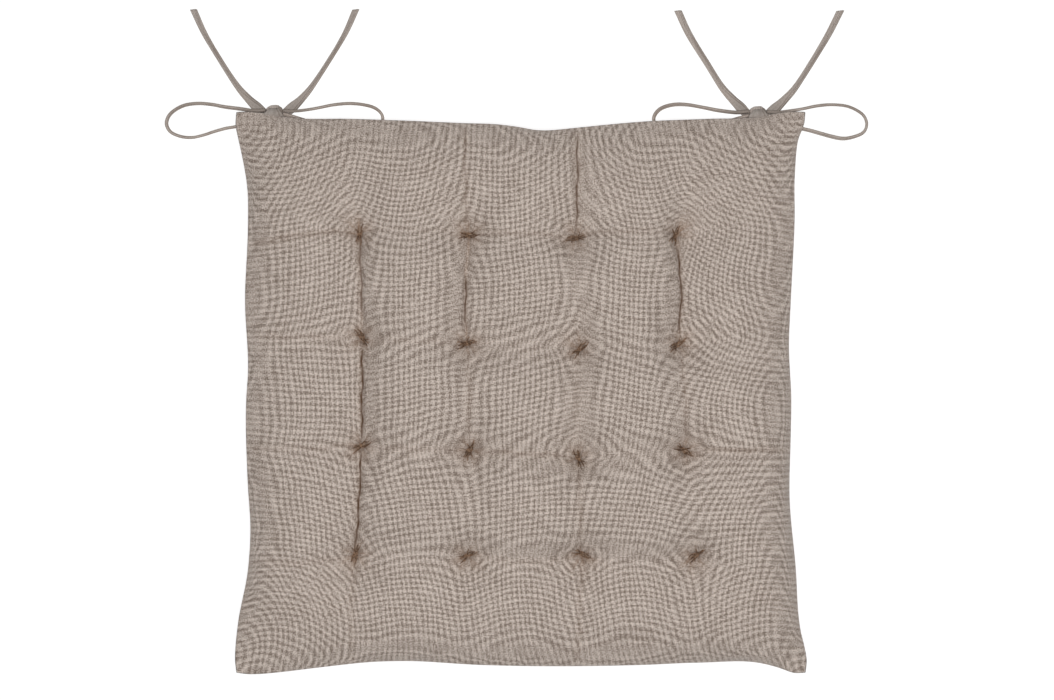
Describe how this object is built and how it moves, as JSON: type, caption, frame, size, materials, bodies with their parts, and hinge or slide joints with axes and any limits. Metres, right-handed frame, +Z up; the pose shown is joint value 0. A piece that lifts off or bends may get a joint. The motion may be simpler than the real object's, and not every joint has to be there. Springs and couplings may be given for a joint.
{
  "type": "seat cushion",
  "caption": "Square tufted chair pad with a woven cover, soft filling, thread tufts through the pad, and tape ties knotted into bows at its back corners.",
  "frame": {"origin": "on the surface that the cushion lies on, under the middle of the pad", "axes": "+Z up, out of the pad's top face; +Y towards the back edge, which carries the ties; +X to the right when looking along +Y"},
  "size_m": [0.4933, 0.4668, 0.0498],
  "materials": {
    "cover": "matte plain weave with a coarse linen look, taupe threads with darker gaps",
    "filling": "loose white polyester fibre",
    "thread": "dark brown twisted tufting thread",
    "tape": "narrow tape folded and stitched from the cover's cloth, matte"
  },
  "bodies": {
    "root": {"bow_knot_left": "tape", "bow_knot_right": "tape", "bow_loop_left_inner": "tape", "bow_loop_left_outer": "tape", "bow_loop_right_inner": "tape", "bow_loop_right_outer": "tape", "bow_tail_left_inner": "tape", "bow_tail_left_outer": "tape", "bow_tail_right_inner": "tape", "bow_tail_right_outer": "tape", "cover_bottom": "cover", "cover_top": "cover", "filling": "filling", "tie_anchor_left": "tape", "tie_anchor_right": "tape", "tuft_stitch_r1_c1": "thread", "tuft_stitch_r1_c2": "thread", "tuft_stitch_r1_c3": "thread", "tuft_stitch_r1_c4": "thread", "tuft_stitch_r2_c1": "thread", "tuft_stitch_r2_c2": "thread", "tuft_stitch_r2_c3": "thread", "tuft_stitch_r2_c4": "thread", "tuft_stitch_r3_c1": "thread", "tuft_stitch_r3_c2": "thread", "tuft_stitch_r3_c3": "thread", "tuft_stitch_r3_c4": "thread", "tuft_stitch_r4_c1": "thread", "tuft_stitch_r4_c2": "thread", "tuft_stitch_r4_c3": "thread", "tuft_stitch_r4_c4": "thread"}
  },
  "joints": []
}
